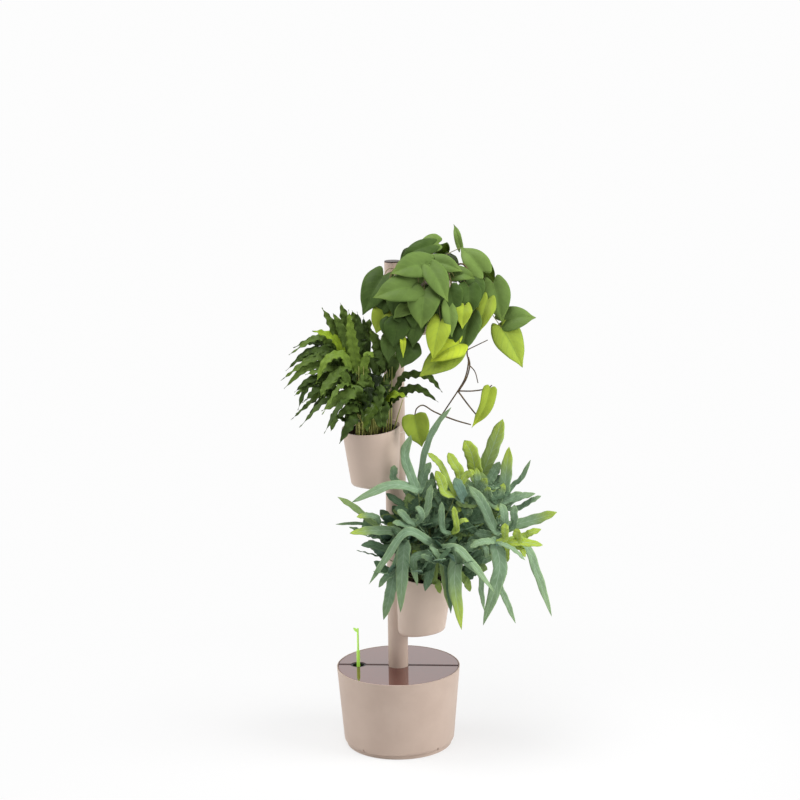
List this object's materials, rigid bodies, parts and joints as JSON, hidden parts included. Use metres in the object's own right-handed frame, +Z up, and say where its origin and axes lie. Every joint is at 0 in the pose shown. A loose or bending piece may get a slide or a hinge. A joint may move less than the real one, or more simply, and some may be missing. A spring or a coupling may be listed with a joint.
{
  "type": "vertical planter",
  "caption": "Tall self-watering planter: round water tank with split lid, turning column of tilted buckets with plants, level sprout, pump inside.",
  "frame": {"origin": "centre of the foot plate's underside, on the floor, under the column's axis", "axes": "+Z up along the column, +X along the split of the lid away from the level sprout, -Y to the front"},
  "size_m": [0.6409, 0.4121, 1.275],
  "materials": {
    "planter_plastic": "matte moulded",
    "lid_acrylic": "gloss",
    "dark_plastic": "satin",
    "sprout_plastic": "satin",
    "float_foam": "matte foam",
    "pump_plastic": "matte",
    "pump_sponge": "open foam",
    "soft_rubber": "matte",
    "steel": "satin",
    "timer_plastic": "satin",
    "button_plastic": "gloss",
    "cell_sleeve": "gloss",
    "lead_sleeve": "satin",
    "water_line": "satin",
    "strainer_plastic": "matte",
    "pot_plastic": "matte",
    "soil": "loose peat",
    "fern_leaf": "dull waxy leaf",
    "lance_leaf": "satin leaf",
    "heart_leaf": "glossy leaf",
    "vine_stem": "satin stem"
  },
  "bodies": {
    "base": {"base_tank": "planter_plastic", "foot_plate": "planter_plastic", "column_stub": "planter_plastic", "stub_screws": "steel", "cross_rail": "dark_plastic", "float_well": "dark_plastic", "level_tube": "sprout_plastic", "pump_housing": "pump_plastic", "pump_cover": "pump_plastic", "pump_shaft": "steel", "pump_filter": "pump_sponge", "pump_feet": "soft_rubber", "pump_hose": "soft_rubber", "riser_elbow": "water_line", "timer_case": "timer_plastic", "timer_cover": "timer_plastic", "battery_cells": "cell_sleeve", "timer_screws": "steel", "pump_lead": "lead_sleeve", "lower_washer": "soft_rubber"},
    "front_lid": {"front_lid": "lid_acrylic"},
    "rear_lid": {"rear_lid": "lid_acrylic"},
    "level": {"level_sprout": "sprout_plastic", "level_float": "float_foam"},
    "impeller": {"pump_impeller": "pump_plastic"},
    "button": {"timer_button": "button_plastic"},
    "lower": {"lower_module": "planter_plastic", "lower_strainer": "strainer_plastic", "lower_riser": "water_line", "lower_coupler": "water_line", "middle_washer": "soft_rubber"},
    "middle": {"middle_module": "planter_plastic", "middle_strainer": "strainer_plastic", "middle_riser": "water_line", "middle_coupler": "water_line", "upper_washer": "soft_rubber"},
    "upper": {"upper_module": "planter_plastic", "upper_strainer": "strainer_plastic", "upper_riser": "water_line", "water_spreader": "water_line"},
    "cap": {"top_cap": "dark_plastic"},
    "lower_pot": {"lower_grow_pot": "pot_plastic", "lower_soil": "soil", "lower_fronds": "fern_leaf"},
    "middle_pot": {"middle_grow_pot": "pot_plastic", "middle_soil": "soil", "middle_leaves": "lance_leaf"},
    "upper_pot": {"upper_grow_pot": "pot_plastic", "upper_soil": "soil", "upper_leaves": "heart_leaf", "upper_vine": "vine_stem"}
  },
  "joints": [
    {"name": "lower_swivel", "type": "hinge", "parent": "base", "child": "lower", "pos_m": [0, 0, 0.052], "axis": [0, 0, 1], "continuous": true},
    {"name": "middle_swivel", "type": "hinge", "parent": "lower", "child": "middle", "pos_m": [0, 0, 0.416], "axis": [0, 0, 1], "continuous": true, "deforming": ["lower_fronds"]},
    {"name": "upper_swivel", "type": "hinge", "parent": "middle", "child": "upper", "pos_m": [0, 0, 0.78], "axis": [0, 0, 1], "continuous": true, "deforming": ["middle_leaves", "upper_leaves", "upper_vine"]},
    {"name": "lower_pot_lift", "type": "slide", "parent": "lower", "child": "lower_pot", "axis": [0, 0, 1], "range_m": [0, 0.14]},
    {"name": "middle_pot_lift", "type": "slide", "parent": "middle", "child": "middle_pot", "axis": [0, 0, 1], "range_m": [0, 0.14]},
    {"name": "upper_pot_lift", "type": "slide", "parent": "upper", "child": "upper_pot", "axis": [0, 0, 1], "range_m": [0, 0.14]},
    {"name": "front_lid_lift", "type": "slide", "parent": "base", "child": "front_lid", "axis": [0, 0, 1], "range_m": [0, 0.07]},
    {"name": "rear_lid_lift", "type": "slide", "parent": "base", "child": "rear_lid", "axis": [0, 0, 1], "range_m": [0, 0.07]},
    {"name": "level_slide", "type": "slide", "parent": "base", "child": "level", "axis": [0, 0, 1], "range_m": [-0.042, 0.0095]},
    {"name": "button_press", "type": "slide", "parent": "base", "child": "button", "axis": [0, 0, 1], "range_m": [-0.0015, 0], "stiffness_N_per_m": 400, "springref_m": 0.001},
    {"name": "impeller_spin", "type": "hinge", "parent": "base", "child": "impeller", "pos_m": [0.084, 0, 0.044], "axis": [0, 1, 0], "continuous": true},
    {"name": "cap_lift", "type": "slide", "parent": "upper", "child": "cap", "axis": [0, 0, 1], "range_m": [0, 0.03]}
  ]
}
